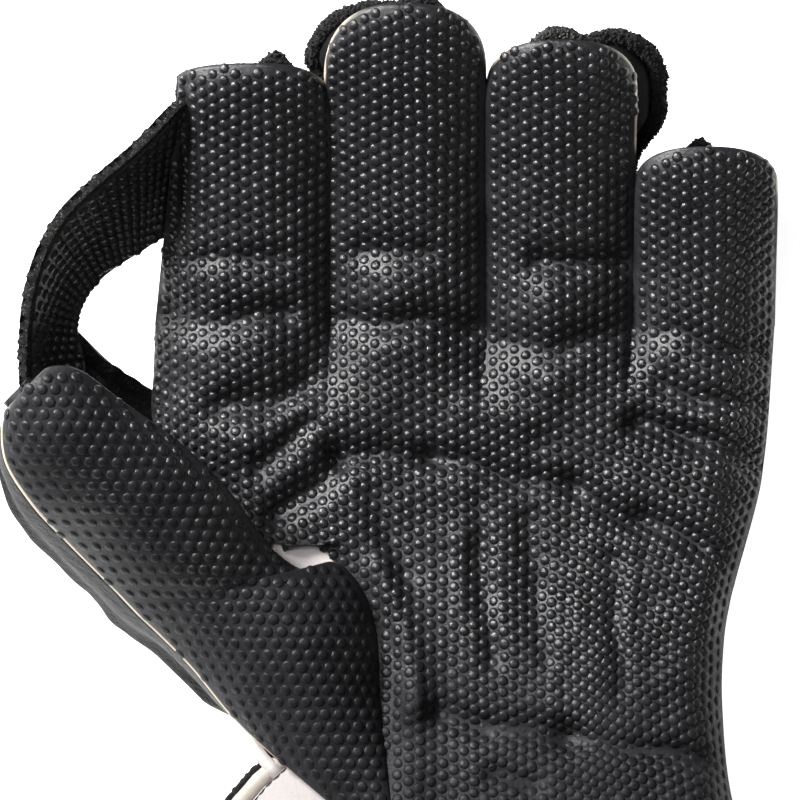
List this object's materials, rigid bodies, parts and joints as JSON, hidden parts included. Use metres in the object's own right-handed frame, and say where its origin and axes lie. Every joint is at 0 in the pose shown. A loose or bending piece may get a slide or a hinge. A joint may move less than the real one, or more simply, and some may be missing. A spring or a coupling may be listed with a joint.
{
  "type": "wicketkeeping glove",
  "caption": "Left-hand wicketkeeping glove lying on its back: pimpled black rubber palm, curled fingers, web to the thumb and a white flared cuff.",
  "frame": {"origin": "under the middle of the glove's box, on the floor that its back lies on", "axes": "+Z out of the palm, +Y from the cuff towards the fingertips, +X from the thumb towards the little finger"},
  "size_m": [0.1808, 0.2556, 0.069],
  "materials": {
    "pimpled_rubber": "satin, pimpled",
    "black_leather": "satin",
    "black_pile": "matt, short pile",
    "white_leather": "satin",
    "cream_leather": "satin",
    "grey_edge": "matt"
  },
  "bodies": {
    "root": {"palm_facing": "pimpled_rubber", "thumb_facing": "pimpled_rubber", "index_gusset": "black_leather", "index_back": "black_pile", "middle_gusset": "black_leather", "middle_back": "black_pile", "ring_gusset": "black_leather", "ring_back": "black_pile", "little_gusset": "black_leather", "little_back": "black_pile", "thumb_back": "black_leather", "hand_back": "white_leather", "crotch_gusset": "white_leather", "webbing": "pimpled_rubber", "web_binding": "grey_edge", "web_strip": "black_leather", "cuff_back": "white_leather", "cuff_front": "white_leather", "cuff_border": "cream_leather", "cuff_binding": "black_leather"}
  },
  "joints": []
}
